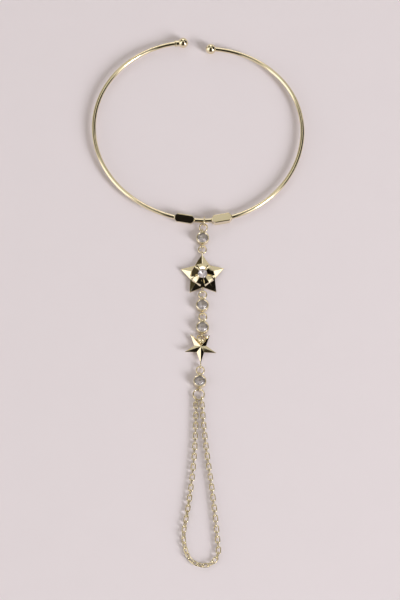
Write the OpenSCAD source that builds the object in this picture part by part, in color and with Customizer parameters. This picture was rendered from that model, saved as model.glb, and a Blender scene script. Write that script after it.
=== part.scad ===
// Hand chain bracelet: an open wire cuff for the wrist, a row of linked stars
// and crystals for the back of the hand, and a chain loop for one finger.
// It lies flat on z = 0 with the cuff towards +Y and the finger loop towards -Y.

/* [Cuff] */
// Thickness of the cuff wire
cuff_wire = 1.35; // [1.2:0.05:1.4]
// Diameter of the two ball ends, which the cuff lies on
ball_d = 3.2; // [3.1:0.1:3.8]
// Diameter of the collar on the screw-on ball
collar_d = 2.1; // [1.9:0.1:2.4]
// Length of the collar
collar_len = 1.2; // [0.8:0.1:1.6]

/* [Stopper beads] */
// Length of a stopper bead
stopper_len = 6.35; // [5:0.05:7]
// Width and height of a stopper bead
stopper_w = 2.7; // [2.5:0.1:2.8]
// Distance of the left bead along the wire from the middle of the front
left_at = 5.95; // [5:0.05:7]
// Distance of the right bead along the wire from the middle of the front
right_at = 5.4; // [5:0.05:7]
// Length cut off the corners, seen from the top
stopper_corner = 1.0; // [0.5:0.05:1.1]
// Bevel along the other edges
stopper_bevel = 0.22; // [0.1:0.02:0.4]
// Roll of the left bead about the wire
left_roll = 17; // [0:1:18]
// Roll of the right bead about the wire
right_roll = 5; // [0:1:18]

/* [Eyes and jump rings] */
// Wire of the small eyes soldered to stars and bezels
eye_wire = 0.42; // [0.38:0.02:0.44]
// Clear hole of an eye
eye_hole = 0.78; // [0.76:0.02:0.8]
// Wire of the jump rings
ring_wire = 0.45; // [0.4:0.01:0.46]
// Outer diameter of the jump rings between the drops
ring_d = 2.75; // [2.7:0.05:2.8]
// Outer diameter of the ring that hangs on the cuff wire
cuff_ring_d = 3.2; // [3.15:0.05:3.25]
// Wire of the ring that holds both chain ends
chain_ring_wire = 0.45; // [0.4:0.05:0.5]
// Outer diameter of the ring that holds both chain ends
chain_ring_d = 3.7; // [3.6:0.1:3.8]
// Slit where the ends of a jump ring meet
ring_slit = 0.06; // [0.02:0.01:0.1]

/* [Crystals in bezels] */
// Outer diameter of a bezel
bezel_d = 3.9; // [3.8:0.05:3.95]
// Height of a bezel
bezel_h = 2.0; // [1.9:0.1:2.3]
// Diameter of a bezel's crystal
crystal_d = 3.1; // [2.8:0.05:3.15]

/* [Stars] */
// Size of the large star from its centre to a tip
large_star_r = 6.85; // [6.75:0.05:6.9]
// Size of the small star from its centre to a tip
small_star_r = 5.0; // [4.9:0.05:5.05]
// Diameter of the crystal in the large star
star_crystal_d = 2.8; // [2.5:0.1:2.9]
// Slope at which the small star lies, its left side up
small_star_tilt = 9; // [0:1:12]

/* [Chain] */
// Wire of the chain links
link_wire = 0.36; // [0.34:0.01:0.37]
// Outer length of a link
link_len = 2.49; // [2.43:0.01:2.5]
// Outer width of a link
link_w = 1.6; // [1.55:0.01:1.65]
// Number of links, an even number so that both end links stand on edge
links = 68; // [68:2:68]

/* [Hidden] */

gold = "#d8c99a";
glass = "#dfe3e6";

// Facets of the preview; the shapes themselves are round
$fn = 40;
wire_fn = 24;

// Small gap left between pieces that sit in or on each other
gap = 0.1;

// Middle of the cuff wire at the front, where the drops hang
front = [1.81, 23.3];
wire_z = ball_d / 2;

// The cuff wire runs from the front up both sides in arcs that meet smoothly.
// Columns: radius of the arc, angle it turns through
right_arcs = [[30.2, 86.5], [26.6, 45.4], [30.2, 45.8]];
left_arcs = [[35.6, 42.6], [30.1, 43.0], [27.8, 43.9], [29.9, 45.8]];

// Left turn is side 1 and right turn is side -1; a place is [point, heading]
function sideways(h) = [-sin(h), cos(h)];
function after_arc(place, arc, side) =
    let (h = place[1], h2 = h + side * arc[1])
    [place[0] + side * arc[0] * (sideways(h) - sideways(h2)), h2];
function after_arcs(place, arcs, side, i = 0) =
    i == len(arcs) ? place : after_arcs(after_arc(place, arcs[i], side), arcs, side, i + 1);

right_start = [front, 0];
left_start = [front, 180];
right_end = after_arcs(right_start, right_arcs, 1);
left_end = after_arcs(left_start, left_arcs, -1);

// The wire ends this far short of the screw-on ball's centre
socket_short = 0.4;
// The ball turns by this much to follow the bow of the wire in its socket
socket_turn = 1.8;

module arc_wire(place, arc, side) {
    h = place[1];
    centre = place[0] + side * arc[0] * sideways(h);
    translate([centre.x, centre.y, wire_z])
        rotate(side > 0 ? h - 90 : h + 90 - arc[1])
            rotate_extrude(angle = arc[1], $fn = 180)
                translate([arc[0], 0])
                    circle(d = cuff_wire, $fn = wire_fn);
}

// Joint between two arcs, filed nearly flush
joint_d = cuff_wire + 0.02;
joint_len = 0.2;
module wire_joint(place) {
    translate([place[0].x, place[0].y, wire_z])
        rotate([0, 90, place[1]])
            cylinder(d = joint_d, h = joint_len, center = true, $fn = wire_fn);
}

module arcs_wire(start, arcs, side) {
    for (i = [0:len(arcs) - 1])
        let (place = after_arcs(start, [for (k = [0:1:i - 1]) arcs[k]], side)) {
            wire_joint(place);
            arc_wire(place, arcs[i], side);
        }
}

module cuff() {
    color(gold) {
        arcs_wire(right_start, right_arcs, 1);
        arcs_wire(left_start, left_arcs, -1);
        translate([right_end[0].x, right_end[0].y, wire_z])
            rotate(right_end[1])
                sphere(d = ball_d);
    }
}

// Ball and collar with a blind socket for the wire, along +X towards the wire's end
module screw_ball() {
    collar_end = -ball_d / 2 - collar_len + 0.15;
    rim = 0.35;
    neck_d = collar_d - 0.2;
    socket_d = cuff_wire + 3 * gap;
    color(gold)
        translate([left_end[0].x, left_end[0].y, wire_z])
            rotate(left_end[1] + socket_turn)
                translate([socket_short, 0, 0])
                    difference() {
                        union() {
                            sphere(d = ball_d);
                            translate([collar_end, 0, 0])
                                rotate([0, 90, 0])
                                    cylinder(d = neck_d, h = -collar_end);
                            translate([collar_end, 0, 0])
                                rotate([0, 90, 0])
                                    cylinder(d = collar_d, h = rim);
                        }
                        translate([collar_end - 1, 0, 0])
                            rotate([0, 90, 0])
                                cylinder(d = socket_d, h = 1 - collar_end - socket_short + 1.3 * gap);
                    }
}

// Rectangle with its corners cut by a along x and b along y
module cut_rectangle(w, h, a, b) {
    x = w / 2;
    y = h / 2;
    polygon([
        [x - a, -y], [x, b - y], [x, y - b], [x - a, y],
        [a - x, y], [-x, y - b], [-x, b - y], [a - x, -y]
    ]);
}

// The wire bows by this much within a bead, so the bead is centred on the bow
function bow(radius) = pow(stopper_len / 2, 2) / (2 * radius);

module stopper_bead(radius) {
    bore = cuff_wire + bow(radius) + 3 * gap;
    difference() {
        intersection() {
            linear_extrude(height = 2 * stopper_w, center = true)
                cut_rectangle(stopper_len, stopper_w, stopper_corner, stopper_corner);
            rotate([90, 0, 0])
                linear_extrude(height = 2 * stopper_w, center = true)
                    cut_rectangle(stopper_len, stopper_w, stopper_bevel, stopper_bevel);
            rotate([90, 0, 90])
                linear_extrude(height = 2 * stopper_len, center = true)
                    cut_rectangle(stopper_w, stopper_w, stopper_bevel, stopper_bevel);
        }
        rotate([0, 90, 0])
            cylinder(d = bore, h = 2 * stopper_len, center = true);
    }
}

// Bead threaded on the first arc of a side, rolled about the wire
module stopper(side, arc, at, roll) {
    radius = arc[0];
    angle = at / radius * 180 / PI;
    color(gold)
        translate([front.x, front.y + radius, wire_z])
            rotate(side * angle)
                translate([0, bow(radius) / 2 - radius, 0])
                    rotate([roll, 0, 0])
                        stopper_bead(radius);
}

// Where the drops lie, measured from the wire at the front.
// Columns: sideways, along the hand, turn in plan
bezel_lay = [
    [-0.40, -5.65, 0],
    [-0.50, -27.35, 0],
    [-0.45, -34.40, -4],
    [-1.25, -51.40, 0]
];
large_star_lay = [-0.45, -17.55, 1.2];
small_star_lay = [-1.15, -40.70, 1.2];
chain_ring_lay = [-1.59, -55.38];

// Height of the eyes' centres: an eye just touches the ground
eye_r = (eye_hole + eye_wire) / 2;
eye_z = eye_hole / 2 + eye_wire;
// Distance of a bezel's eyes from its centre
bezel_reach = bezel_d / 2 + eye_hole / 2 + 0.06;

// Large star: edge thickness, inner corners, and the eyes' distances from its centre
star_edge = 0.5;
large_notch_r = 3.9;
large_top_reach = large_star_r + 0.38;
large_foot_reach = large_notch_r + 1.2;

// Small star: edge thickness, inner corners, height, and its eyes
small_edge = 0.3;
small_notch_r = 1.87;
small_peak = 1.2;
small_top_reach = 2.05;
small_top_lift = 1.2;
small_eye_turn = -13;
small_foot_reach = small_star_r + 1.0;
small_foot_lift = 0.21;
small_star_z = small_star_r * sin(small_star_tilt) + 0.05;

// Centre of an eye that stands reach from a piece's centre, along its own +Y
function eye_place(lay, reach, z) =
    [front.x + lay[0] - reach * sin(lay[2]), front.y + lay[1] + reach * cos(lay[2]), z];

large_top = eye_place(large_star_lay, large_top_reach, eye_z);
large_foot = eye_place(large_star_lay, -large_foot_reach, eye_z);
small_top = eye_place(small_star_lay, small_top_reach, small_star_z + small_top_lift);
small_foot = eye_place(small_star_lay, -small_foot_reach, small_star_z + small_foot_lift);
function bezel_eye(i, end) = eye_place(bezel_lay[i], end * bezel_reach, eye_z);

// Ring on the cuff wire, upright, and the place where the next ring passes through it
cuff_ring = [front.x + 0.1, front.y - 0.3, cuff_ring_d / 2];
under_wire = [front.x, front.y - 0.96, 1.34];

// The ring over the small star rolls to clear the star's arm
ring_roll = 4;

module torus(r, wire) {
    rotate_extrude()
        translate([r, 0])
            circle(d = wire, $fn = wire_fn);
}

// Round ring with a slit on its +X side
module open_ring(d, wire) {
    r = (d - wire) / 2;
    cut = ring_slit / r * 180 / PI;
    rotate(cut / 2)
        rotate_extrude(angle = 360 - cut)
            translate([r, 0])
                circle(d = wire, $fn = wire_fn);
}

// Jump ring through two eyes whose centres are a and b, rolled about the line between them
module linking_ring(a, b, roll = 0) {
    along = b - a;
    middle = (a + b) / 2;
    bearing = atan2(along.y, along.x);
    climb = atan2(along.z, norm([along.x, along.y]));
    color(gold)
        translate(middle)
            rotate(bearing)
                rotate([0, -climb, 0])
                    rotate([roll, 0, 0])
                        rotate(90)
                            open_ring(ring_d, ring_wire);
}

module ring_on_cuff() {
    color(gold)
        translate(cuff_ring)
            rotate([0, 90, 0])
                open_ring(cuff_ring_d, ring_wire);
}

module ring_on_chain() {
    color(gold)
        translate([chain_ring_centre.x, chain_ring_centre.y, eye_z])
            open_ring(chain_ring_d, chain_ring_wire);
}

// Eye standing upright in line with the hand
module eye() {
    rotate([0, 90, 0])
        torus(eye_r, eye_wire);
}

// Short wire between two points of the YZ plane, a little thinner than the eye it carries
stem_d = eye_wire - 0.06;
module stem(a, b) {
    along = b - a;
    translate([0, a[0], a[1]])
        rotate([-atan2(along[0], along[1]), 0, 0])
            cylinder(d = stem_d, h = norm(along), $fn = wire_fn);
}

// Bezel: a turned cup with a bevelled rim, a lip over the crystal and a conical seat
bezel_bevel = 0.2;
lip = 0.25;
bezel_floor = 0.2;
culet_d = 0.1;
module bezel_cup() {
    pocket_d = crystal_d + 1.8 * gap;
    mouth_d = crystal_d - 0.14;
    seat_z = bezel_floor + (pocket_d - culet_d) / 2 * pavilion_slope;
    lip_z = bezel_h - lip;
    difference() {
        union() {
            cylinder(d1 = bezel_d - 3 * bezel_bevel, d2 = bezel_d, h = bezel_bevel);
            translate([0, 0, bezel_bevel])
                cylinder(d = bezel_d, h = bezel_h - 2 * bezel_bevel);
            translate([0, 0, bezel_h - bezel_bevel])
                cylinder(d1 = bezel_d, d2 = bezel_d - bezel_bevel, h = bezel_bevel);
        }
        translate([0, 0, lip_z])
            cylinder(d1 = mouth_d, d2 = mouth_d + 0.36, h = lip);
        translate([0, 0, lip_z - 0.001])
            cylinder(d = mouth_d, h = 0.002);
        translate([0, 0, seat_z])
            cylinder(d = pocket_d, h = lip_z - seat_z);
        translate([0, 0, bezel_floor])
            cylinder(d1 = culet_d, d2 = pocket_d, h = seat_z - bezel_floor);
    }
}

module bezel(i) {
    color(gold)
        translate([front.x + bezel_lay[i][0], front.y + bezel_lay[i][1], 0])
            rotate(bezel_lay[i][2]) {
                bezel_cup();
                for (end = [-1, 1])
                    translate([0, end * bezel_reach, eye_z])
                        eye();
            }
}

// Brilliant cut: flat table, crown, thin girdle at z = 0 and pavilion.
// All sizes are parts of the radius; the main facets are flat by construction.
table_r = 0.55;
crown_slope = tan(34.5);
pavilion_slope = tan(37);
crown_side_r = 0.8;
pavilion_side_r = 0.25;
girdle = 0.05;
function eight(r, z, turn = 0) = [for (i = [0:7]) [r * cos(45 * i + turn), r * sin(45 * i + turn), z]];
function sixteen(r, z) = [for (i = [0:15]) [r * cos(22.5 * i), r * sin(22.5 * i), z]];

module brilliant(d) {
    half_step = 22.5;
    crown_side_z = crown_slope * (1 - crown_side_r * cos(half_step)) + girdle;
    pavilion_side_z = -pavilion_slope * (1 - pavilion_side_r * cos(half_step));
    points = concat(
        eight(table_r, crown_slope * (1 - table_r) + girdle),
        eight(crown_side_r, crown_side_z, half_step),
        sixteen(1, girdle),
        sixteen(1, 0),
        eight(pavilion_side_r, pavilion_side_z, half_step),
        [[0, 0, -pavilion_slope]]
    );
    crown_side = 8;
    top = 16;
    bottom = 32;
    pavilion_side = 48;
    culet = 56;
    faces = concat(
        [[for (i = [7:-1:0]) i]],
        [for (i = [0:7]) let (
            next = (i + 1) % 8,
            last = (i + 7) % 8,
            g = 2 * i,
            g1 = g + 1,
            g2 = (g + 2) % 16
        ) each [
            [i, next, crown_side + i],
            [i, crown_side + i, crown_side + last],
            [crown_side + i, top + g, crown_side + last],
            [crown_side + i, top + g1, top + g],
            [crown_side + i, top + g2, top + g1],
            [top + g, top + g1, bottom + g1, bottom + g],
            [top + g1, top + g2, bottom + g2, bottom + g1],
            [bottom + g, bottom + g1, pavilion_side + i],
            [bottom + g1, bottom + g2, pavilion_side + i],
            [bottom + g, pavilion_side + i, pavilion_side + last],
            [pavilion_side + i, culet, pavilion_side + last]
        ]]
    );
    scale(d / 2)
        polyhedron(points, faces);
}

// Height of a bezel crystal's girdle
crystal_z = bezel_h - lip - 0.28;

module crystal(i) {
    color(glass)
        translate([front.x + bezel_lay[i][0], front.y + bezel_lay[i][1], crystal_z])
            brilliant(crystal_d);
}

// Star solid from rings of ten points, arm and notch by turns.
// Columns of a level: radius and height in an arm, radius and height in a notch
function star_ring(level) = [
    for (i = [0:9])
        let (angle = 90 + 36 * i, arm = i % 2 == 0 ? 0 : 2)
        [level[arm] * cos(angle), level[arm] * sin(angle), level[arm + 1]]
];

module star_solid(levels) {
    last = len(levels) - 1;
    points = [for (level = levels) each star_ring(level)];
    sides = [
        for (k = [0:last - 1], i = [0:9])
            let (a = 10 * k + i, b = 10 * k + (i + 1) % 10, c = b + 10, d = a + 10)
            each i % 2 == 0 ? [[d, c, b], [d, b, a]] : [[d, c, a], [c, b, a]]
    ];
    caps = [[for (i = [0:9]) i], [for (i = [9:-1:0]) 10 * last + i]];
    polyhedron(points, concat(sides, caps));
}

// Pocket for the large star's crystal
star_seat_r = star_crystal_d / 2 + gap;
star_top = 2.0;
star_back = eye_z - star_edge / 2;
star_crystal_z = star_back + star_top - 0.1;

// Petal of the rosette that holds the crystal, along +X: a low roof with a blunt end.
// Columns: distance from the star's centre, and sideways
petal_outline = [[1.3, -0.62], [3.05, -1.6], [3.35, 0], [3.05, 1.6], [1.3, 0.62]];
petal_foot = [[1.3, -0.62], [3.5, -1.6], [3.9, 0], [3.5, 1.6], [1.3, 0.62]];
petal_foot_z = 0.6;
petal_slope = tan(15);
petal_crease = tan(6);
function petal_roof(p) =
    [p.x, p.y, star_top + petal_slope * (star_seat_r - 0.1 - p.x) - petal_crease * abs(p.y)];

module petal() {
    points = [
        for (p = petal_outline) petal_roof(p),
        for (p = petal_foot) [p.x, p.y, petal_foot_z],
        petal_roof([petal_outline[0].x, 0])
    ];
    foot = 5;
    ridge = 10;
    faces = [
        [ridge, 4, 3, 2], [ridge, 2, 1, 0],
        for (i = [0:3]) each [[foot + i, i, i + 1], [foot + i, i + 1, foot + i + 1]],
        [foot + 4, 4, ridge, 0, foot],
        [for (i = [0:4]) foot + i]
    ];
    polyhedron(points, faces);
}

module large_star() {
    arm_base_r = large_notch_r * cos(36) + 0.2;
    pocket_r = 1.15;
    pocket_z = 1.5;
    levels = [
        [large_star_r, 0, large_notch_r, 0],
        [large_star_r, star_edge, large_notch_r, star_edge],
        [arm_base_r, 1.25, large_notch_r - 0.15, 0.62],
        [pocket_r, pocket_z, pocket_r, pocket_z]
    ];
    color(gold)
        translate([front.x + large_star_lay[0], front.y + large_star_lay[1], star_back])
            rotate(large_star_lay[2]) {
                difference() {
                    union() {
                        star_solid(levels);
                        for (i = [0:4])
                            rotate(90 + 72 * i)
                                petal();
                    }
                    translate([0, 0, star_top - 0.3])
                        cylinder(r = star_seat_r, h = 1);
                    translate([0, 0, 0.4])
                        cylinder(r1 = 0.2, r2 = star_seat_r, h = star_top - 0.7);
                }
                translate([0, large_top_reach, star_edge / 2])
                    eye();
                translate([0, -large_foot_reach, star_edge / 2])
                    eye();
                translate([0, 0, star_edge / 2])
                    stem([-large_foot_reach + eye_r, 0], [-large_notch_r + 0.4, 0]);
            }
}

module star_crystal() {
    color(glass)
        translate([front.x + large_star_lay[0], front.y + large_star_lay[1], star_crystal_z])
            rotate(large_star_lay[2])
                brilliant(star_crystal_d);
}

// Inverted star: its notch points up the hand, its lowest arm down the hand
module small_star() {
    peak_r = 0.06;
    levels = [
        [small_star_r, 0, small_notch_r, 0],
        [small_star_r, small_edge, small_notch_r, small_edge],
        [peak_r, small_peak, peak_r, small_peak]
    ];
    color(gold)
        translate([front.x + small_star_lay[0], front.y + small_star_lay[1], small_star_z])
            rotate(small_star_lay[2]) {
                rotate([0, small_star_tilt, 0])
                    rotate(180)
                        star_solid(levels);
                translate([0, small_top_reach, small_top_lift])
                    rotate(small_eye_turn)
                        eye();
                translate([0, -small_foot_reach, small_foot_lift])
                    eye();
                stem([1.45, 0.25], [small_top_reach - 0.05, small_top_lift - eye_r + 0.03]);
                translate([0, 0, small_foot_lift])
                    stem([-small_foot_reach + eye_r, 0], [-small_star_r + 1, 0]);
            }
}

// The chain leaves the ring at one point, runs round the loop and comes back at another.
// Columns: length of a stretch, angle it turns through to the left
loop_stretches = [
    [10.8, -3.0], [28.45, -8.6], [8.5, 32.3], [5.8, 62.9],
    [4.5, 64.2], [3.3, 35.7], [24.45, 3.5], [21.5, -4.6]
];
loop_heading = -89;
chain_ring_centre = front + chain_ring_lay;
chain_ring_r = (chain_ring_d - chain_ring_wire) / 2;
// Half the distance between the chain's two ends on the ring
ends_apart = 0.87;
end_drop = sqrt(pow(chain_ring_r, 2) - pow(ends_apart, 2));
chain_start = chain_ring_centre + [-ends_apart, -end_drop];
chain_finish = chain_ring_centre + [ends_apart, -end_drop];

loop_len = loop_length(0);
function loop_length(i) =
    i == len(loop_stretches) ? 0 : loop_stretches[i][0] + loop_length(i + 1);

// Place after walking s along a stretch that turns evenly
function along_stretch(place, s, turn) =
    let (radius = s / (turn * PI / 180))
    after_arc(place, [radius, turn], 1);
function walk(place, s, i = 0) =
    let (stretch = loop_stretches[i], here = min(s, stretch[0]), turn = stretch[1] * here / stretch[0])
    s <= stretch[0] || i == len(loop_stretches) - 1
        ? along_stretch(place, s, stretch[1] * s / stretch[0])
        : walk(along_stretch(place, here, turn), s - here, i + 1);

// Small errors of the stretches are shared out along the loop, so that it closes on the ring
loop_miss = chain_finish - walk([chain_start, loop_heading], loop_len)[0];
function on_loop(s) =
    let (place = walk([chain_start, loop_heading], s))
    [place[0] + loop_miss * s / loop_len, place[1]];

link_r = (link_w - link_wire) / 2;
link_half = (link_len - link_w) / 2;
// Distance of the end links' centres from the middle of the ring's wire, which crosses them askew
end_lead = link_half + link_r - link_wire / 2 - chain_ring_wire / 2 - 2.9 * gap;
pitch = (loop_len - 2 * end_lead) / (links - 1);

// Links stand and lie by turns; a quarter turn of twist is taken up on the way round
function smooth(t) = t <= 0 ? 0 : t >= 1 ? 1 : t * t * (3 - 2 * t);
twist_from = 0.2;
twist_over = 0.45;
function roll(k) = 90 + 90 * k + 90 * smooth((k / (links - 1) - twist_from) / twist_over);
// A link's centre is as high as it and its neighbours need
function lift(k) = link_r * max(abs(sin(roll(k))), abs(cos(roll(k)))) + link_wire / 2;

// Oval link in the XY plane, its length along X
module link() {
    for (end = [-1, 1]) {
        translate([end * link_half, 0, 0])
            rotate(-90 * end)
                rotate_extrude(angle = 180, $fn = 24)
                    translate([link_r, 0])
                        circle(d = link_wire, $fn = 16);
        translate([-link_half, end * link_r, 0])
            rotate([0, 90, 0])
                cylinder(d = link_wire, h = 2 * link_half, $fn = 16);
    }
}

module finger_chain() {
    color(gold)
        for (k = [0:links - 1])
            let (place = on_loop(end_lead + pitch * k))
                translate([place[0].x, place[0].y, lift(k)])
                    rotate(place[1])
                        rotate([roll(k), 0, 0])
                            link();
}

cuff();
screw_ball();
stopper(-1, left_arcs[0], left_at, left_roll);  // stopper_left
stopper(1, right_arcs[0], right_at, right_roll);  // stopper_right
ring_on_cuff();  // jump_ring_1
linking_ring(under_wire, bezel_eye(0, 1));  // jump_ring_2
linking_ring(bezel_eye(0, -1), large_top);  // jump_ring_3
linking_ring(large_foot, bezel_eye(1, 1));  // jump_ring_4
linking_ring(bezel_eye(1, -1), bezel_eye(2, 1));  // jump_ring_5
linking_ring(bezel_eye(2, -1), small_top, ring_roll);  // jump_ring_6
linking_ring(small_foot, bezel_eye(3, 1));  // jump_ring_7
ring_on_chain();  // jump_ring_8
bezel(0);  // bezel_1
bezel(1);  // bezel_2
bezel(2);  // bezel_3
bezel(3);  // bezel_4
crystal(0);  // crystal_1
crystal(1);  // crystal_2
crystal(2);  // crystal_3
crystal(3);  // crystal_4
large_star();
star_crystal();
small_star();
finger_chain();
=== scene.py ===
import math

import bmesh
import bpy
from mathutils import Matrix, Vector


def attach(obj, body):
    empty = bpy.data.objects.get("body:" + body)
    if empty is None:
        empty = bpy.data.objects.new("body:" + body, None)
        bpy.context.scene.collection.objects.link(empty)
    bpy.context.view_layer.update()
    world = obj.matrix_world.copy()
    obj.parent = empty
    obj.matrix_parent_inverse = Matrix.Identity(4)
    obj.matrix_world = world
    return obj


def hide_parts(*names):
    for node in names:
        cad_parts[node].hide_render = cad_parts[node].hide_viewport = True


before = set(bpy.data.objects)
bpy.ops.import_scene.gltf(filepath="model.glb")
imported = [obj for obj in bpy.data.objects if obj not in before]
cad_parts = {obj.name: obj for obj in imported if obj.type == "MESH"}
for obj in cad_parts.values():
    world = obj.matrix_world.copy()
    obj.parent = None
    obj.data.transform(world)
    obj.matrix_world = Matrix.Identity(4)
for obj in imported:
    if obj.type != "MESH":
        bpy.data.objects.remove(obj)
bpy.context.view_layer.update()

# All settings are in millimetres and degrees. Meshes are scaled to metres as they are made.
mm = 0.001
full = 2 * math.pi  # one turn


# Materials

def linear(hexColour):
    # sRGB hex to the linear colour that a shader takes
    def channel(value):
        value /= 255
        return value / 12.92 if value <= 0.04045 else ((value + 0.055) / 1.055) ** 2.4
    code = hexColour.lstrip("#")
    return [channel(int(code[i:i + 2], 16)) for i in (0, 2, 4)] + [1.0]


def addNode(tree, kind, settings=None, inputs=None):
    # One node with its settings, and its inputs as values or as links
    node = tree.nodes.new(kind)
    for name, value in (settings or {}).items():
        setattr(node, name, value)
    for name, value in (inputs or {}).items():
        socket = node.inputs[name]
        if isinstance(value, bpy.types.NodeSocket):
            tree.links.new(value, socket)
        else:
            socket.default_value = value
    return node


def newMaterial(name):
    material = bpy.data.materials.new(name)
    material.use_nodes = True
    material.node_tree.nodes.clear()
    return material, material.node_tree


def platedBrass(name, look):
    # Brass, plated a pale champagne gold and polished: a warm mirror with faint waves and fine wheel marks
    material, tree = newMaterial(name)
    place = addNode(tree, "ShaderNodeTexCoord")
    position = place.outputs["Object"]
    tone = addNode(tree, "ShaderNodeTexNoise", {}, {
        "Vector": position, "Scale": 1 / (look["toneSize"] * mm), "Detail": 2.0, "Roughness": 0.5})
    colour = addNode(tree, "ShaderNodeMix", {"data_type": "RGBA"}, {
        0: tone.outputs["Fac"], 6: linear(look["paler"]), 7: linear(look["warmer"])})
    haze = addNode(tree, "ShaderNodeTexNoise", {}, {
        "Vector": position, "Scale": 1 / (look["hazeSize"] * mm), "Detail": 3.0, "Roughness": 0.6})
    gloss = addNode(tree, "ShaderNodeMapRange", {}, {
        "Value": haze.outputs["Fac"], "From Min": 0.3, "From Max": 0.7,
        "To Min": look["glossiest"], "To Max": look["dullest"]})
    wave = addNode(tree, "ShaderNodeTexNoise", {}, {
        "Vector": position, "Scale": 1 / (look["waveSize"] * mm), "Detail": 1.0, "Roughness": 0.4})
    waves = addNode(tree, "ShaderNodeBump", {}, {
        "Strength": look["waves"], "Distance": look["waveHeight"] * mm, "Height": wave.outputs["Fac"]})
    stretched = addNode(tree, "ShaderNodeMapping", {"vector_type": "POINT"}, {
        "Vector": position, "Rotation": (0.0, 0.0, math.radians(look["markTurn"])),
        "Scale": (1.0, look["markStretch"], 1.0)})
    mark = addNode(tree, "ShaderNodeTexNoise", {}, {
        "Vector": stretched.outputs["Vector"], "Scale": 1 / (look["markSize"] * mm), "Detail": 2.0,
        "Roughness": 0.6})
    marks = addNode(tree, "ShaderNodeBump", {}, {
        "Strength": look["marks"], "Distance": look["markDepth"] * mm, "Height": mark.outputs["Fac"],
        "Normal": waves.outputs["Normal"]})
    shader = addNode(tree, "ShaderNodeBsdfPrincipled", {}, {
        "Base Color": colour.outputs[2], "Metallic": 1.0, "Roughness": gloss.outputs["Result"],
        "Normal": marks.outputs["Normal"]})
    addNode(tree, "ShaderNodeOutputMaterial", {}, {"Surface": shader.outputs["BSDF"]})
    return material


def cutGlass(name, look):
    # Lead crystal, cut and polished: clear and nearly colourless, with sharp facets that glitter
    material, tree = newMaterial(name)
    place = addNode(tree, "ShaderNodeTexCoord")
    speck = addNode(tree, "ShaderNodeTexNoise", {}, {
        "Vector": place.outputs["Object"], "Scale": 1 / (look["speckSize"] * mm), "Detail": 2.0})
    gloss = addNode(tree, "ShaderNodeMapRange", {}, {
        "Value": speck.outputs["Fac"], "From Min": 0.4, "From Max": 0.7,
        "To Min": look["glossiest"], "To Max": look["dullest"]})
    shader = addNode(tree, "ShaderNodeBsdfPrincipled", {}, {
        "Base Color": linear(look["glass"]), "Roughness": gloss.outputs["Result"], "IOR": look["ior"],
        "Transmission Weight": 1.0})
    addNode(tree, "ShaderNodeOutputMaterial", {}, {"Surface": shader.outputs["BSDF"]})
    return material


def foil(name, look):
    # Silver foil baked on the back of a crystal: a bright, slightly soft mirror behind the glass
    material, tree = newMaterial(name)
    shader = addNode(tree, "ShaderNodeBsdfPrincipled", {}, {
        "Base Color": linear(look["silver"]), "Metallic": look["metallic"], "Roughness": look["roughness"]})
    addNode(tree, "ShaderNodeOutputMaterial", {}, {"Surface": shader.outputs["BSDF"]})
    return material


def matteCard(name, look):
    # Uncoated card under the bracelet: pale and matte, with a very faint mottle
    material, tree = newMaterial(name)
    place = addNode(tree, "ShaderNodeTexCoord")
    mottle = addNode(tree, "ShaderNodeTexNoise", {}, {
        "Vector": place.outputs["Object"], "Scale": 1 / (look["mottleSize"] * mm), "Detail": 3.0})
    colour = addNode(tree, "ShaderNodeMix", {"data_type": "RGBA"}, {
        0: mottle.outputs["Fac"], 6: linear(look["lighter"]), 7: linear(look["darker"])})
    shader = addNode(tree, "ShaderNodeBsdfPrincipled", {}, {
        "Base Color": colour.outputs[2], "Roughness": look["roughness"],
        "Specular IOR Level": look["specular"]})
    addNode(tree, "ShaderNodeOutputMaterial", {}, {"Surface": shader.outputs["BSDF"]})
    return material


polish = {
    "paler": "#f3ead0", "warmer": "#efe2c0", "toneSize": 6.0,  # the plating's tone drifts a little
    "hazeSize": 1.5, "glossiest": 0.03, "dullest": 0.09,  # light wear in the polish
    "waveSize": 2.5, "waveHeight": 0.01, "waves": 0.3,  # what polishing by hand leaves uneven
    # Real wheel marks are hundredths of a millimetre wide. They are drawn this coarse so that they show.
    "markSize": 0.35, "markStretch": 0.2, "markTurn": 20.0, "markDepth": 0.002, "marks": 0.25,
}
# Drawn wire mirrors in long, clean streaks. Pressed beads are a little softer, bent rings a little warmer.
# Turned cups have short ripples and cast stars a lively, uneven mirror. The tumbled chain is warm and bright.
drawnWire = platedBrass("platedBrassDrawnWire", {**polish, "waveSize": 5.0, "waves": 0.15, "markTurn": 0.0})
pressedBead = platedBrass("platedBrassPressedBead", {**polish, "glossiest": 0.07, "dullest": 0.12})
bentRing = platedBrass("platedBrassBentRing", {**polish, "warmer": "#ecdcb4"})
turnedBezel = platedBrass("platedBrassTurnedBezel", {**polish, "waveSize": 1.5})
castStar = platedBrass("platedBrassCastStar", {**polish, "waveSize": 1.6, "waves": 0.5, "dullest": 0.10})
tumbledChain = platedBrass("platedBrassTumbledChain", {**polish, "dullest": 0.08, "warmer": "#ebdfb8"})
crystalGlass = cutGlass("leadCrystalCutAndPolished", {
    "glass": "#fbf9fa", "ior": 1.56, "glossiest": 0.0, "dullest": 0.02, "speckSize": 0.8})
silverFoil = foil("silverFoilBakedOn", {"silver": "#fbf7fb", "metallic": 0.6, "roughness": 0.15})
paleCard = matteCard("matteCard", {
    "lighter": "#eee6ee", "darker": "#ece4ec", "mottleSize": 12.0, "roughness": 0.9, "specular": 0.1})
print("materials made")


# Mesh helpers

def newPiece(name, mesh, material, slot, *nodes, smoothUnder=40):
    # A mesh in millimetres becomes a piece on the body, in place of its CAD nodes
    mesh.transform(Matrix.Scale(mm, 4))
    mesh.materials.append(material)
    mesh.shade_smooth()
    mesh.set_sharp_from_angle(angle=math.radians(smoothUnder))
    piece = bpy.data.objects.new(name, mesh)
    bpy.context.scene.collection.objects.link(piece)
    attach(piece, "root")
    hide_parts(*nodes)
    return piece


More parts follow.
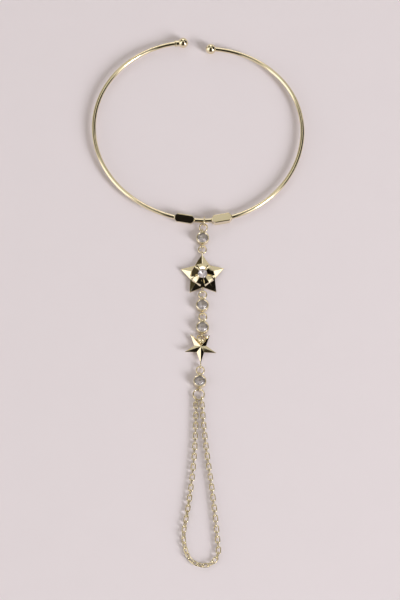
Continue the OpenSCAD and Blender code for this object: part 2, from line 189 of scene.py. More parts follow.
def toMesh(name, shape):
    bmesh.ops.recalc_face_normals(shape, faces=shape.faces[:])
    mesh = bpy.data.meshes.new(name)
    shape.to_mesh(mesh)
    shape.free()
    return mesh


def joined(name, meshes):
    # Several meshes as one
    shape = bmesh.new()
    for mesh in meshes:
        shape.from_mesh(mesh)
        bpy.data.meshes.remove(mesh)
    mesh = bpy.data.meshes.new(name)
    shape.to_mesh(mesh)
    shape.free()
    return mesh


def tube(path, radius, sides, closed, place=None):
    # Round wire along a flat path of (point, heading) pairs in the XY plane
    shape = bmesh.new()
    rings = []
    for point, heading in path:
        outward = Vector((math.sin(heading), -math.cos(heading), 0))
        ring = []
        for k in range(sides):
            a = full * k / sides
            spot = Vector((*point, 0)) + radius * (math.cos(a) * outward + math.sin(a) * Vector((0, 0, 1)))
            ring.append(shape.verts.new(spot))
        rings.append(ring)
    last = len(rings) if closed else len(rings) - 1
    for i in range(last):
        a, b = rings[i], rings[(i + 1) % len(rings)]
        for k in range(sides):
            n = (k + 1) % sides
            shape.faces.new((a[k], a[n], b[n], b[k]))
    if not closed:
        shape.faces.new(rings[0])
        shape.faces.new(rings[-1][::-1])
    if place:
        shape.transform(place)
    return toMesh("tube", shape)


def lathe(profile, steps, place=None):
    # Turns a closed profile of (radius, height) about Z. A radius of 0 is a point on the axis.
    shape = bmesh.new()
    rings = []
    for radius, height in profile:
        if radius == 0:
            rings.append([shape.verts.new((0, 0, height))])
            continue
        ring = []
        for k in range(steps):
            a = full * k / steps
            ring.append(shape.verts.new((radius * math.cos(a), radius * math.sin(a), height)))
        rings.append(ring)
    for i in range(len(rings) - 1):
        a, b = rings[i], rings[i + 1]
        for k in range(steps):
            n = (k + 1) % steps
            corners = [a[k % len(a)], a[n % len(a)], b[n % len(b)], b[k % len(b)]]
            corners = [c for j, c in enumerate(corners) if c not in corners[:j]]
            if len(corners) > 2:
                shape.faces.new(corners)
    if place:
        shape.transform(place)
    return toMesh("turned", shape)


def rounded(profile, size, steps=3):
    # Rounds the inner corners of a profile, each by at most half of its shorter side
    points = [Vector(p) for p in profile]
    result = [points[0]]
    for before, corner, after in zip(points, points[1:], points[2:]):
        towards, onwards = before - corner, after - corner
        reach = min(size, towards.length / 2, onwards.length / 2)
        start = corner + towards.normalized() * reach
        end = corner + onwards.normalized() * reach
        for k in range(steps + 1):
            t = k / steps
            result.append((1 - t) ** 2 * start + 2 * t * (1 - t) * corner + t ** 2 * end)
    result.append(points[-1])
    return [tuple(p) for p in result]


def withModifier(mesh, kind, settings):
    # The mesh after this modifier
    holder = bpy.data.objects.new("holder", mesh)
    bpy.context.scene.collection.objects.link(holder)
    modifier = holder.modifiers.new(kind, kind)
    for name, value in settings.items():
        setattr(modifier, name, value)
    bpy.context.view_layer.update()
    result = bpy.data.meshes.new_from_object(holder.evaluated_get(bpy.context.evaluated_depsgraph_get()))
    bpy.data.objects.remove(holder)
    return result


def softened(mesh, width, segments, sharperThan):
    # Edges sharper than an angle in degrees, rounded as polishing leaves them
    return withModifier(mesh, "BEVEL", {"width": width, "segments": segments, "limit_method": "ANGLE",
                                        "angle_limit": math.radians(sharperThan)})


def combined(mesh, other, operation):
    # The mesh and the other one as one solid, or the mesh less the other
    tool = bpy.data.objects.new("tool", other)
    bpy.context.scene.collection.objects.link(tool)
    result = withModifier(mesh, "BOOLEAN", {"operation": operation, "object": tool, "solver": "EXACT"})
    bpy.data.objects.remove(tool)
    return result


def united(meshes):
    result = meshes[0]
    for mesh in meshes[1:]:
        result = combined(result, mesh, "UNION")
    return result


def placed(x, y, z, turn):
    return Matrix.Translation((x, y, z)) @ Matrix.Rotation(math.radians(turn), 4, "Z")


def spun(angle, axis):
    return Matrix.Rotation(math.radians(angle), 4, axis)


def circlePath(radius, start, sweep, steps):
    # Points and headings round a circle, from a start angle, in degrees
    result = []
    for k in range(steps):
        a = math.radians(start + sweep * k / (steps if sweep == 360 else steps - 1))
        result.append(((radius * math.cos(a), radius * math.sin(a)), a + math.pi / 2))
    return result


# Cuff: one bent wire with a ball on each end

front = (1.81, 23.3)  # middle of the wire where the drops hang

cuff = {
    "wire": 1.35, "ball": 3.2, "wireZ": 1.6,
    # Radius of each arc and the angle it turns through, from the front up each side
    "rightArcs": [(30.2, 86.5), (26.6, 45.4), (30.2, 45.8)],
    "leftArcs": [(35.6, 42.6), (30.1, 43.0), (27.8, 43.9), (29.9, 45.8)],
    "step": 1.0, "sides": 40,
    # The ball that screws on: its neck and collar, and the socket for the end of the wire
    "collar": 2.1, "neck": 1.9, "rim": 0.35, "collarEnd": 2.65, "socket": 1.65, "socketShort": 0.4,
    "socketDepth": 0.3, "socketTurn": 1.8, "neckStep": 0.02, "edge": 0.06, "ballSteps": 48,
}


def alongArcs(start, heading, arcs, side, step):
    # Points and headings along arcs that meet smoothly. Left turn is side 1.
    point, heading = Vector(start), math.radians(heading)
    result = [(tuple(point), heading)]
    for radius, angle in arcs:
        centre = point + side * radius * Vector((-math.sin(heading), math.cos(heading)))
        count = max(2, round(radius * math.radians(angle) / step))
        turn = side * math.radians(angle) / count
        for _ in range(count):
            heading += turn
            point = centre - side * radius * Vector((-math.sin(heading), math.cos(heading)))
            result.append((tuple(point), heading))
    return result


def ballProfile(radius, start, steps=24):
    # Half circle from the tip down to where the neck leaves it, as (radius, height)
    return [(radius * math.sin(a), radius * math.cos(a)) if k else (0, radius)
            for k, a in ((k, (math.pi - start) * k / steps) for k in range(steps + 1))]


def buildCuff(s):
    right = alongArcs(front, 0, s["rightArcs"], 1, s["step"])
    left = alongArcs(front, 180, s["leftArcs"], -1, s["step"])
    backwards = [(point, heading + math.pi) for point, heading in left[::-1]]
    wire = tube(backwards[:-1] + right, s["wire"] / 2, s["sides"], False,
                Matrix.Translation((0, 0, s["wireZ"])))
    (x, y), heading = right[-1]
    radius = s["ball"] / 2
    ball = lathe(ballProfile(radius, 0)[:-1] + [(0, -radius)], s["ballSteps"],
                 Matrix.Translation((x, y, s["wireZ"])) @ spun(math.degrees(heading), "Z") @ spun(90, "Y"))
    newPiece("cuffWire", united([wire, ball]), drawnWire, "cuff_metal", "cuff")

    (x, y), heading = left[-1]
    neck, rim, bore = s["neck"] / 2, s["collar"] / 2, s["socket"] / 2
    bottom = -s["collarEnd"]
    meet = math.asin(neck / radius)
    profile = ballProfile(radius, meet) + rounded([
        (neck, -radius * math.cos(meet) - s["neckStep"]), (neck, bottom + s["rim"]),
        (rim, bottom + s["rim"]), (rim, bottom), (bore, bottom), (bore, -s["socketDepth"]),
        (0, -s["socketDepth"])], s["edge"])
    end = lathe(profile, s["ballSteps"], Matrix.Translation((x, y, s["wireZ"]))
                @ spun(math.degrees(heading) + s["socketTurn"], "Z")
                @ Matrix.Translation((s["socketShort"], 0, 0)) @ spun(90, "Y"))
    newPiece("screwBallEnd", end, drawnWire, "cuff_metal", "screw_ball")


buildCuff(cuff)
print("cuff made")


# Stopper beads: pressed bars with cut corners, threaded on the wire

bead = {
    "length": 6.35, "width": 2.7, "corner": 1.0, "bevel": 0.22, "edge": 0.09,
    "slack": 0.3, "boreSteps": 40,  # play of the bore on the wire
    "flat": 0.01,  # faces that meet at less than this, in radians, become one
    # Distance of each bead's middle from the front, along the wire, and its roll round the wire
    "leftAt": 5.95, "leftRoll": 17, "rightAt": 5.4, "rightRoll": 5,
}


def cutBar(s):
    # A bar with its long corners and its edges cut away by planes
    half = Vector((s["length"] / 2, s["width"] / 2, s["width"] / 2))
    shape = bmesh.new()
    bmesh.ops.create_cube(shape, size=1, matrix=Matrix.Diagonal((*(2 * half), 1)))
    cuts = []
    for a, b, amount in ((0, 1, s["corner"]), (0, 2, s["bevel"]), (1, 2, s["bevel"])):
        for i in (-1, 1):
            for j in (-1, 1):
                normal, spot = Vector((0, 0, 0)), Vector((0, 0, 0))
                normal[a], normal[b] = i, j
                spot[a], spot[b] = i * (half[a] - amount), j * half[b]
                cuts.append((spot, normal))
    for spot, normal in cuts:
        cut = bmesh.ops.bisect_plane(shape, geom=shape.verts[:] + shape.edges[:] + shape.faces[:],
                                     plane_co=spot, plane_no=normal, clear_outer=True)
        edges = [e for e in cut["geom_cut"] if isinstance(e, bmesh.types.BMEdge)]
        bmesh.ops.edgenet_fill(shape, edges=edges)
    bmesh.ops.dissolve_limit(shape, angle_limit=s["flat"], verts=shape.verts[:], edges=shape.edges[:])
    return toMesh("bar", shape)


def buildBead(name, node, side, radius, at, roll, s):
    bow = (s["length"] / 2) ** 2 / (2 * radius)
    bar = softened(cutBar(s), s["edge"], segments=3, sharperThan=20)
    boreRadius = (cuff["wire"] + bow + s["slack"]) / 2
    far = s["length"]
    drill = lathe([(0, -far), (boreRadius, -far), (boreRadius, far), (0, far)], s["boreSteps"],
                  spun(90, "Y"))
    mesh = combined(bar, drill, "DIFFERENCE")
    angle = math.degrees(at / radius)
    mesh.transform(placed(front[0], front[1] + radius, cuff["wireZ"], side * angle)
                   @ Matrix.Translation((0, bow / 2 - radius, 0)) @ spun(roll, "X"))
    newPiece(name, mesh, pressedBead, "bead_metal", node, smoothUnder=5)


leftBow, rightBow = cuff["leftArcs"][0][0], cuff["rightArcs"][0][0]  # radius of the wire at each bead
buildBead("stopperBeadLeft", "stopper_left", -1, leftBow, bead["leftAt"], bead["leftRoll"], bead)
buildBead("stopperBeadRight", "stopper_right", 1, rightBow, bead["rightAt"], bead["rightRoll"], bead)
print("beads made")


# Where the drops lie, from the wire at the front: sideways, along the hand, turn in plan

lay = {
    "bezels": [(-0.40, -5.65, 0), (-0.50, -27.35, 0), (-0.45, -34.40, -4), (-1.25, -51.40, 0)],
    "largeStar": (-0.45, -17.55, 1.2),
    "smallStar": (-1.15, -40.70, 1.2),
    "chainRing": (-1.59, -55.38),
}
eye = {"wire": 0.42, "hole": 0.78, "stemThinner": 0.06, "steps": 48, "sides": 20}
eyeRadius = (eye["hole"] + eye["wire"]) / 2
eyeZ = eye["hole"] / 2 + eye["wire"]
stemRadius = (eye["wire"] - eye["stemThinner"]) / 2


def dropPlace(spot, z=0.0):
    return placed(front[0] + spot[0], front[1] + spot[1], z, spot[2])


def eyeAt(y, z, turn=0.0):
    # Soldered eye, upright in line with the hand
    return tube(circlePath(eyeRadius, 0, 360, eye["steps"]), eye["wire"] / 2, eye["sides"], True,
                Matrix.Translation((0, y, z)) @ spun(turn, "Z") @ spun(90, "Y"))


def stemBetween(a, b):
    # Short wire between two points of the YZ plane
    along = Vector((0, b[0] - a[0], b[1] - a[1]))
    turn = Vector((0, 0, 1)).rotation_difference(along).to_matrix().to_4x4()
    return lathe([(0, 0), (stemRadius, 0), (stemRadius, along.length), (0, along.length)], eye["sides"],
                 Matrix.Translation((0, *a)) @ turn)


# Crystals in bezels

setting = {
    # A cup and its crystal: the seat slopes as the crystal's back does, and the lip closes over its girdle
    "diameter": 3.9, "height": 2.0, "bevel": 0.2, "lip": 0.25, "crystal": 3.1, "floor": 0.2, "culet": 0.1,
    "pavilion": 37.0, "play": 0.18, "edge": 0.06, "lipOver": 0.07, "lipSlope": 0.18, "eyeOut": 0.06,
    "girdleUnderLip": 0.28, "steps": 64,
}
bezelReach = setting["diameter"] / 2 + eye["hole"] / 2 + setting["eyeOut"]


def buildBezels(s):
    outer, height, bevel = s["diameter"] / 2, s["height"], s["bevel"]
    pocket, point = (s["crystal"] + s["play"]) / 2, s["culet"] / 2
    mouth = s["crystal"] / 2 - s["lipOver"]
    lipZ = height - s["lip"]
    seatZ = s["floor"] + (pocket - point) * math.tan(math.radians(s["pavilion"]))
    profile = [(0, 0), (outer - 1.5 * bevel, 0), (outer, bevel), (outer, height - bevel),
               (outer - bevel / 2, height), (mouth + s["lipSlope"], height), (mouth, lipZ), (pocket, lipZ),
               (pocket, seatZ), (point, s["floor"]), (0, s["floor"])]
    for i, spot in enumerate(lay["bezels"], 1):
        cup = lathe(rounded(profile, s["edge"]), s["steps"])
        mesh = united([cup, eyeAt(bezelReach, eyeZ), eyeAt(-bezelReach, eyeZ)])
        mesh.transform(dropPlace(spot))
        newPiece(f"bezelCup{i}", mesh, turnedBezel, "bezel_metal", f"bezel_{i}", smoothUnder=35)


buildBezels(setting)

cut = {
    # Brilliant cut, for a girdle of radius 1: rings of corners at these radii, slopes in degrees
    "table": 0.55, "crownSide": 0.8, "crownSlope": 34.5, "pavilionSide": 0.25, "pavilionSlope": 37.0,
    "girdle": 0.05, "mains": 8,
    "foilUnder": -0.001,  # the back facets have their middles lower than this
    # The crystal in the large star: its diameter, the height of its girdle over the star's foot, and
    # the height of the star's eyes over its foot
    "starCrystal": 2.8, "starGirdle": 1.9, "starEyes": 0.25,
}


def brilliant(diameter, s):
    # Flat facets as the hull of their corners, the crown clear and the back foiled
    crown = math.tan(math.radians(s["crownSlope"]))
    pavilion = math.tan(math.radians(s["pavilionSlope"]))
    mains = s["mains"]
    halfStep = full / (2 * mains)
    rings = [
        (s["table"], crown * (1 - s["table"]) + s["girdle"], mains, 0),
        (s["crownSide"], crown * (1 - s["crownSide"] * math.cos(halfStep)) + s["girdle"], mains, halfStep),
        (1, s["girdle"], 2 * mains, 0), (1, 0, 2 * mains, 0),
        (s["pavilionSide"], -pavilion * (1 - s["pavilionSide"] * math.cos(halfStep)), mains, halfStep),
        (0, -pavilion, 1, 0),
    ]
    shape = bmesh.new()
    for radius, height, count, turn in rings:
        for k in range(count):
            a = full * k / count + turn
            shape.verts.new((radius * math.cos(a), radius * math.sin(a), height))
    bmesh.ops.convex_hull(shape, input=shape.verts[:])
    bmesh.ops.dissolve_limit(shape, angle_limit=math.radians(0.5), verts=shape.verts[:],
                             edges=shape.edges[:])
    for face in shape.faces:
        face.material_index = 1 if face.calc_center_median().z < s["foilUnder"] else 0
    shape.transform(Matrix.Scale(diameter / 2, 4))
    return toMesh("brilliant", shape)


def buildCrystals(s):
    girdle = setting["height"] - setting["lip"] - setting["girdleUnderLip"]
    stones = [(f"crystal{i}", f"crystal_{i}", (*spot[:2], 0), girdle, setting["crystal"])
              for i, spot in enumerate(lay["bezels"], 1)]
    stones.append(("crystalInStar", "star_crystal", lay["largeStar"],
                   eyeZ - s["starEyes"] + s["starGirdle"], s["starCrystal"]))
    for name, node, spot, z, diameter in stones:
        mesh = brilliant(diameter, s)
        mesh.transform(dropPlace(spot, z))
        piece = newPiece(name, mesh, crystalGlass, "crystal_glass", node, smoothUnder=0.1)
        piece.data.materials.append(silverFoil)


buildCrystals(cut)
print("bezels and crystals made")


# Stars

bigStar = {
    "tip": 6.85, "notch": 3.9, "edge": 0.5, "top": 2.0, "bevel": 0.05,
    # From the edge the arms rise to their base and the notches to a line inside them, then both to the hub
    "armOut": 0.2, "armZ": 1.25, "notchIn": 0.15, "notchZ": 0.62, "hub": 1.15, "hubZ": 1.5,
    "seat": 1.5, "seatRim": 0.3, "crystalSeat": 0.4, "culet": 0.2, "seatSteps": 48,
    "topOut": 0.38, "footOut": 1.2, "stemIn": 0.4,
    # Petals round the crystal: distance from the centre and sideways, on the roof and at the foot
    "petalOutline": [(1.3, -0.62), (3.05, -1.6), (3.35, 0), (3.05, 1.6), (1.3, 0.62)],
    "petalFoot": [(1.3, -0.62), (3.5, -1.6), (3.9, 0), (3.5, 1.6), (1.3, 0.62)],
    "petalFootZ": 0.6, "petalSlope": 15.0, "petalCrease": 6.0, "petalIn": 0.1,
}
littleStar = {
    # One peak. The star leans sideways, and its top eye stands on a short stem, turned a little.
    "tip": 5.0, "notch": 1.87, "edge": 0.3, "peak": 1.2, "peakFlat": 0.06, "bevel": 0.04, "tilt": 9.0,
    "topReach": 2.05, "topLift": 1.2, "eyeTurn": -13.0, "footOut": 1.0, "footLift": 0.21, "clear": 0.05,
    "stemFrom": (1.45, 0.25), "stemUnderEye": (0.05, 0.03), "stemIn": 1.0,
}
bigStar["foot"] = bigStar["notch"] + bigStar["footOut"]
bigStar["topReach"] = bigStar["tip"] + bigStar["topOut"]
bigStar["z"] = eyeZ - bigStar["edge"] / 2
littleStar["foot"] = littleStar["tip"] + littleStar["footOut"]
littleStar["z"] = littleStar["tip"] * math.sin(math.radians(littleStar["tilt"])) + littleStar["clear"]
starBevel = {"segments": 2, "sharperThan": 8}


def starBody(levels):
    # Rings of ten corners, arm and notch by turns: radius and height in an arm, then in a notch
    shape = bmesh.new()
    rings = []
    for armRadius, armZ, notchRadius, notchZ in levels:
        ring = []
        for i in range(10):
            a = math.radians(90 + 36 * i)
            r, z = (armRadius, armZ) if i % 2 == 0 else (notchRadius, notchZ)
            ring.append(shape.verts.new((r * math.cos(a), r * math.sin(a), z)))
        rings.append(ring)
    for low, high in zip(rings, rings[1:]):
        for i in range(10):
            n = (i + 1) % 10
            a, b, c, d = low[i], low[n], high[n], high[i]
            for corners in (((a, b, d), (b, c, d)) if i % 2 == 0 else ((a, b, c), (a, c, d))):
                shape.faces.new(corners)
    shape.faces.new(rings[0][::-1])
    shape.faces.new(rings[-1])
    bmesh.ops.recalc_face_normals(shape, faces=shape.faces[:])
    bmesh.ops.dissolve_limit(shape, angle_limit=math.radians(1), verts=shape.verts[:], edges=shape.edges[:])
    return toMesh("star", shape)


def petal(s):
    # Low roof with a blunt end, along +X, that stands on an arm from the crystal outwards
    slope, crease = math.tan(math.radians(s["petalSlope"])), math.tan(math.radians(s["petalCrease"]))

    def onRoof(x, y):
        return (x, y, s["top"] + slope * (s["seat"] - s["petalIn"] - x) - crease * abs(y))
    shape = bmesh.new()
    roof = [shape.verts.new(onRoof(x, y)) for x, y in s["petalOutline"]]
    foot = [shape.verts.new((x, y, s["petalFootZ"])) for x, y in s["petalFoot"]]
    inner = shape.verts.new(onRoof(s["petalOutline"][0][0], 0))
    shape.faces.new((inner, roof[4], roof[3], roof[2]))
    shape.faces.new((inner, roof[2], roof[1], roof[0]))
    for i in range(4):
        shape.faces.new((foot[i], roof[i], roof[i + 1]))
        shape.faces.new((foot[i], roof[i + 1], foot[i + 1]))
    shape.faces.new((foot[4], roof[4], inner, roof[0], foot[0]))
    shape.faces.new(foot)
    return toMesh("petal", shape)


def buildLargeStar(s):
    armBase = s["notch"] * math.cos(math.radians(36)) + s["armOut"]
    body = softened(starBody([
        (s["tip"], 0, s["notch"], 0), (s["tip"], s["edge"], s["notch"], s["edge"]),
        (armBase, s["armZ"], s["notch"] - s["notchIn"], s["notchZ"]),
        (s["hub"], s["hubZ"], s["hub"], s["hubZ"])]), s["bevel"], **starBevel)
    seat, above = s["seat"], s["top"] + 1
    pocket = [(0, s["crystalSeat"]), (s["culet"], s["crystalSeat"]), (seat, s["top"] - s["seatRim"]),
              (seat, above), (0, above)]
    petals = []
    for i in range(5):
        leaf = softened(petal(s), s["bevel"], **starBevel)
        leaf.transform(spun(90 + 72 * i, "Z"))
        petals.append(leaf)
    body = combined(united([body, *petals]), lathe(pocket, s["seatSteps"]), "DIFFERENCE")
    mid = s["edge"] / 2
    mesh = united([
        body, eyeAt(s["topReach"], mid), eyeAt(-s["foot"], mid),
        stemBetween((-s["foot"] + eyeRadius, mid), (-s["notch"] + s["stemIn"], mid))])
    mesh.transform(dropPlace(lay["largeStar"], s["z"]))
    newPiece("largeStarCasting", mesh, castStar, "star_metal", "large_star", smoothUnder=10)


def buildSmallStar(s):
    body = softened(starBody([
        (s["tip"], 0, s["notch"], 0), (s["tip"], s["edge"], s["notch"], s["edge"]),
        (s["peakFlat"], s["peak"], s["peakFlat"], s["peak"])]), s["bevel"], **starBevel)
    body.transform(spun(s["tilt"], "Y") @ spun(180, "Z"))
    lift, (inwards, upwards) = s["topLift"], s["stemUnderEye"]
    mesh = united([
        body, eyeAt(s["topReach"], lift, s["eyeTurn"]), eyeAt(-s["foot"], s["footLift"]),
        stemBetween(s["stemFrom"], (s["topReach"] - inwards, lift - eyeRadius + upwards)),
        stemBetween((-s["foot"] + eyeRadius, s["footLift"]), (-s["tip"] + s["stemIn"], s["footLift"]))])
    mesh.transform(dropPlace(lay["smallStar"], s["z"]))
    newPiece("smallStarCasting", mesh, castStar, "star_metal", "small_star", smoothUnder=10)


buildLargeStar(bigStar)
buildSmallStar(littleStar)
print("stars made")


# Jump rings: open wire rings that join the drops

ring = {
    "wire": 0.45, "diameter": 2.75, "onCuff": 3.2, "chainWire": 0.45, "chainRing": 3.7, "slit": 0.06,
    "steps": 64, "sides": 20, "smallStarRoll": 4.0,
    # The ring on the cuff and where the next one passes under the wire, from the wire at the front
    "cuffRingAt": (0.1, -0.3), "underWire": (-0.96, 1.34),
}


def openRing(diameter, wire, place, s):
    radius = (diameter - wire) / 2
    gap = math.degrees(s["slit"] / radius)
    return tube(circlePath(radius, gap / 2, 360 - gap, s["steps"]), wire / 2, s["sides"], False, place)


def eyePlace(spot, reach, z):
    # An eye's centre, from the place of the drop that it is soldered to
    turn = math.radians(spot[2])
    x = front[0] + spot[0] - reach * math.sin(turn)
    y = front[1] + spot[1] + reach * math.cos(turn)
    return Vector((x, y, z))


def between(a, b, roll=0.0):
    # Place of a ring that passes through two eyes, rolled about the line that joins them
    along = b - a
    bearing = math.degrees(math.atan2(along.y, along.x))
    climb = math.degrees(math.atan2(along.z, math.hypot(along.x, along.y)))
    return (Matrix.Translation((a + b) / 2) @ spun(bearing, "Z") @ spun(-climb, "Y") @ spun(90, "Z")
            @ spun(-roll, "Y"))


def buildRings(s):
    bezels = lay["bezels"]
    top = [eyePlace(spot, bezelReach, eyeZ) for spot in bezels]
    foot = [eyePlace(spot, -bezelReach, eyeZ) for spot in bezels]
    big, little = bigStar, littleStar
    bigTop = eyePlace(lay["largeStar"], big["topReach"], eyeZ)
    bigFoot = eyePlace(lay["largeStar"], -big["foot"], eyeZ)
    littleTop = eyePlace(lay["smallStar"], little["topReach"], little["z"] + little["topLift"])
    littleFoot = eyePlace(lay["smallStar"], -little["foot"], little["z"] + little["footLift"])
    (aside, along), (under, underZ) = s["cuffRingAt"], s["underWire"]
    underWire = Vector((front[0], front[1] + under, underZ))
    small = (s["diameter"], s["wire"])
    rings = [
        (s["onCuff"], s["wire"],
         Matrix.Translation((front[0] + aside, front[1] + along, s["onCuff"] / 2)) @ spun(90, "Y")),
        (*small, between(underWire, top[0])),
        (*small, between(foot[0], bigTop)),
        (*small, between(bigFoot, top[1])),
        (*small, between(foot[1], top[2])),
        (*small, between(foot[2], littleTop, s["smallStarRoll"])),
        (*small, between(littleFoot, top[3])),
        (s["chainRing"], s["chainWire"],
         Matrix.Translation((front[0] + lay["chainRing"][0], front[1] + lay["chainRing"][1], eyeZ))),
    ]
    for i, (diameter, wire, place) in enumerate(rings, 1):
        mesh = openRing(diameter, wire, place, s)
        newPiece(f"jumpRing{i}", mesh, bentRing, "ring_metal", f"jump_ring_{i}")


buildRings(ring)
print("jump rings made")


# Chain: oval links that stand and lie by turns

chain = {
    "wire": 0.36, "length": 2.49, "width": 1.6, "links": 68,
    "endPlay": 0.29,  # how far the end links lie inwards from where they would pull on the last ring
    # Length of each stretch of the loop and the angle it turns through to the left
    "stretches": [(10.8, -3.0), (28.45, -8.6), (8.5, 32.3), (5.8, 62.9),
                  (4.5, 64.2), (3.3, 35.7), (24.45, 3.5), (21.5, -4.6)],
    # The links turn by a slow twist as well, over this share of the loop
    "heading": -89.0, "endsApart": 0.87, "twist": 90, "twistFrom": 0.2, "twistOver": 0.45,
    "bendSteps": 14, "sides": 14,
}


def walkLoop(start, heading, distance, stretches):
    # Place after walking a distance along the stretches
    point, heading = Vector(start), math.radians(heading)
    for i, (length, turn) in enumerate(stretches):
        last = i == len(stretches) - 1
        part = distance if last else min(distance, length)
        angle = math.radians(turn) * part / length
        radius = length / math.radians(turn)
        centre = point + radius * Vector((-math.sin(heading), math.cos(heading)))
        heading += angle
        point = centre - radius * Vector((-math.sin(heading), math.cos(heading)))
        distance -= part
        if distance <= 0:
            break
    return point, heading


def buildChain(s):
    linkRadius = (s["width"] - s["wire"]) / 2
    linkHalf = (s["length"] - s["width"]) / 2
    centre = Vector((front[0] + lay["chainRing"][0], front[1] + lay["chainRing"][1]))
    ringRadius = (ring["chainRing"] - ring["chainWire"]) / 2
    drop = math.sqrt(ringRadius ** 2 - s["endsApart"] ** 2)
    start = centre + Vector((-s["endsApart"], -drop))
    finish = centre + Vector((s["endsApart"], -drop))
    total = sum(length for length, _ in s["stretches"])
    miss = finish - walkLoop(start, s["heading"], total, s["stretches"])[0]
    lead = linkHalf + linkRadius - s["wire"] / 2 - ring["chainWire"] / 2 - s["endPlay"]
    pitch = (total - 2 * lead) / (s["links"] - 1)

    path = []
    for end in (1, -1):
        for k in range(s["bendSteps"] + 1):
            a = math.pi * (k / s["bendSteps"] - 0.5) + (0 if end == 1 else math.pi)
            path.append(((end * linkHalf + linkRadius * math.cos(a), linkRadius * math.sin(a)),
                         a + math.pi / 2))
    links = []
    for k in range(s["links"]):
        far = lead + pitch * k
        point, heading = walkLoop(start, s["heading"], far, s["stretches"])
        point = point + miss * far / total
        t = (k / (s["links"] - 1) - s["twistFrom"]) / s["twistOver"]
        t = min(1.0, max(0.0, t))
        roll = 90 + 90 * k + s["twist"] * t * t * (3 - 2 * t)
        a = math.radians(roll)
        z = linkRadius * max(abs(math.sin(a)), abs(math.cos(a))) + s["wire"] / 2
        place = (Matrix.Translation((point.x, point.y, z)) @ spun(math.degrees(heading), "Z")
                 @ spun(roll, "X"))
        links.append(tube(path, s["wire"] / 2, s["sides"], True, place))
    newPiece("fingerChainLinks", joined("chain", links), tumbledChain, "chain_metal", "finger_chain",
             smoothUnder=60)


buildChain(chain)
print("chain made")


# Floor, light and camera

card = {"halfWidth": 1500, "parts": 8, "under": 0.02}  # it lies a little under the metal


def buildFloor(s):
    shape = bmesh.new()
    bmesh.ops.create_grid(shape, x_segments=s["parts"], y_segments=s["parts"], size=s["halfWidth"])
    bmesh.ops.translate(shape, vec=(0, 0, -s["under"]), verts=shape.verts[:])
    mesh = toMesh("floor", shape)
    mesh.transform(Matrix.Scale(mm, 4))
    mesh.materials.append(paleCard)
    floor = bpy.data.objects.new("floor", mesh)
    bpy.context.scene.collection.objects.link(floor)


studio = {
    "walls": "#d0cbbe",
    # What the metal mirrors, as compass bearing and height in degrees: from, to, from, to,
    # width of the soft edge, colour, strength
    "surroundings": [
        ("shadeSouth", 150, 210, -10, 62, 5, "#403a2e", 1.0),
        ("curtainEast", 58, 108, -6, 50, 3, "#14110e", 1.0),
        ("curtainNorthEast", 24, 75, 36, 59, 3, "#14110e", 1.0),
        ("curtainNorthWest", 284, 333, 27, 61, 3, "#453f30", 1.0),
        ("windowWest", 236, 272, -4, 52, 5, "#fffaf2", 1.6),
        ("windowWestHigh", 242, 286, 44, 63, 5, "#fffaf2", 1.6),
        ("windowEastHigh", 92, 112, 51, 62, 4, "#fffaf2", 1.7),
        ("windowEast", 112, 144, -8, 50, 5, "#fffaf2", 1.5),
        ("lampNorth", -18, 18, 33, 43, 3, "#fffaf2", 3.0),
    ],
    "camera": (21.0, 24, 29, "#1c1916"),  # lean, inner and outer radius of the dark round the lens
    # The lamps stand at bearing and height in degrees; the metal mirrors only the small one
    "lamps": [
        {"name": "windowLight", "bearing": 125.0, "height": 28.0, "distance": 2500.0, "width": 1000.0,
         "tall": 1150.0, "power": 30.0, "mirrored": False},
        {"name": "paneLight", "bearing": 125.0, "height": 28.0, "distance": 2300.0, "width": 560.0,
         "tall": 820.0, "power": 14.0, "mirrored": True},
    ],
}


def bearingTo(bearing, height):
    a, b = math.radians(bearing), math.radians(height)
    return Vector((math.sin(a) * math.cos(b), math.cos(a) * math.cos(b), math.sin(b)))


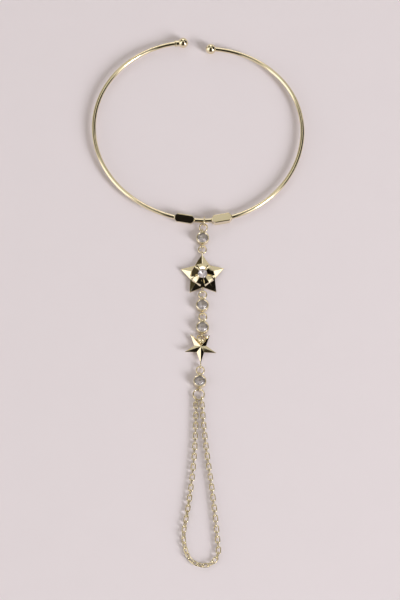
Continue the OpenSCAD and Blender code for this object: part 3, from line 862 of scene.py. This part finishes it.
def buildStudio(s):
    world = bpy.data.worlds.new("studioRoom")
    bpy.context.scene.world = world
    world.use_nodes = True
    tree = world.node_tree
    tree.nodes.clear()
    direction = addNode(tree, "ShaderNodeTexCoord").outputs["Generated"]
    axes = addNode(tree, "ShaderNodeSeparateXYZ", {}, {0: direction})
    height = addNode(tree, "ShaderNodeMath", {"operation": "ARCSINE"}, {0: axes.outputs["Z"]}).outputs[0]

    smooth, multiply = {"interpolation_type": "SMOOTHSTEP"}, {"operation": "MULTIPLY"}
    layers = []
    for name, west, east, low, high, soft, hexColour, strength in s["surroundings"]:
        middle = bearingTo((west + east) / 2, 0)
        ahead = addNode(tree, "ShaderNodeVectorMath", {"operation": "DOT_PRODUCT"}, {
            0: direction, 1: middle})
        aside = addNode(tree, "ShaderNodeVectorMath", {"operation": "DOT_PRODUCT"}, {
            0: direction, 1: (middle.y, -middle.x, 0)})
        turned = addNode(tree, "ShaderNodeMath", {"operation": "ARCTAN2"}, {
            0: aside.outputs["Value"], 1: ahead.outputs["Value"]})
        off = addNode(tree, "ShaderNodeMath", {"operation": "ABSOLUTE"}, {0: turned.outputs[0]})
        half, edge = math.radians((east - west) / 2), math.radians(soft)
        inside = addNode(tree, "ShaderNodeMapRange", smooth, {
            "Value": off.outputs[0], "From Min": half + edge / 2, "From Max": half - edge / 2})
        low, high = math.radians(low), math.radians(high)
        above = addNode(tree, "ShaderNodeMapRange", smooth, {
            "Value": height, "From Min": low - edge / 2, "From Max": low + edge / 2})
        below = addNode(tree, "ShaderNodeMapRange", smooth, {
            "Value": height, "From Min": high + edge / 2, "From Max": high - edge / 2})
        both = addNode(tree, "ShaderNodeMath", multiply, {
            0: inside.outputs["Result"], 1: above.outputs["Result"]})
        amount = addNode(tree, "ShaderNodeMath", multiply, {0: both.outputs[0], 1: below.outputs["Result"]})
        layers.append((name, amount.outputs[0], hexColour, strength))
    lean, inner, outer, hexColour = s["camera"]
    towards = addNode(tree, "ShaderNodeVectorMath", {"operation": "DOT_PRODUCT"}, {
        0: direction, 1: bearingTo(180, 90 - lean)})
    near = addNode(tree, "ShaderNodeMapRange", smooth, {
        "Value": towards.outputs["Value"],
        "From Min": math.cos(math.radians(outer)), "From Max": math.cos(math.radians(inner))})
    layers.append(("camera", near.outputs["Result"], hexColour, 1.0))
    colour = linear(s["walls"])
    for name, amount, hexColour, strength in layers:
        colour = addNode(tree, "ShaderNodeMix", {"data_type": "RGBA", "label": name}, {
            0: amount, 6: colour, 7: [c * strength for c in linear(hexColour)]}).outputs[2]
    room = addNode(tree, "ShaderNodeBackground", {}, {"Color": colour})
    addNode(tree, "ShaderNodeOutputWorld", {}, {"Surface": room.outputs["Background"]})

    for k in s["lamps"]:
        lamp = bpy.data.lights.new(k["name"], "AREA")
        lamp.shape = "RECTANGLE"
        lamp.size, lamp.size_y = k["width"] * mm, k["tall"] * mm
        lamp.energy = k["power"]
        stand = bpy.data.objects.new(k["name"], lamp)
        towards = bearingTo(k["bearing"], k["height"])
        stand.location = towards * k["distance"] * mm
        stand.rotation_euler = towards.to_track_quat("Z", "Y").to_euler()
        stand.visible_camera = False
        stand.visible_glossy = k["mirrored"]
        bpy.context.scene.collection.objects.link(stand)


view = {
    "lean": 21.0, "distance": 800.0, "aim": (0.60, -1.84, 0.0), "lens": 160.0, "sensor": 36.0,
    "farthest": 20000.0,
}


def buildCamera(s):
    lens = bpy.data.cameras.new("camera")
    lens.lens = s["lens"]
    lens.sensor_width = s["sensor"]
    lens.clip_end = s["farthest"] * mm
    camera = bpy.data.objects.new("camera", lens)
    lean = math.radians(s["lean"])
    away = Vector((0, -math.sin(lean), math.cos(lean)))
    camera.location = (Vector(s["aim"]) + away * s["distance"]) * mm
    camera.rotation_euler = (lean, 0, 0)
    bpy.context.scene.collection.objects.link(camera)
    bpy.context.scene.camera = camera


buildFloor(card)
buildStudio(studio)
buildCamera(view)
bpy.context.scene.view_settings.view_transform = "Standard"
print("floor, light and camera made")

bpy.context.view_layer.update()
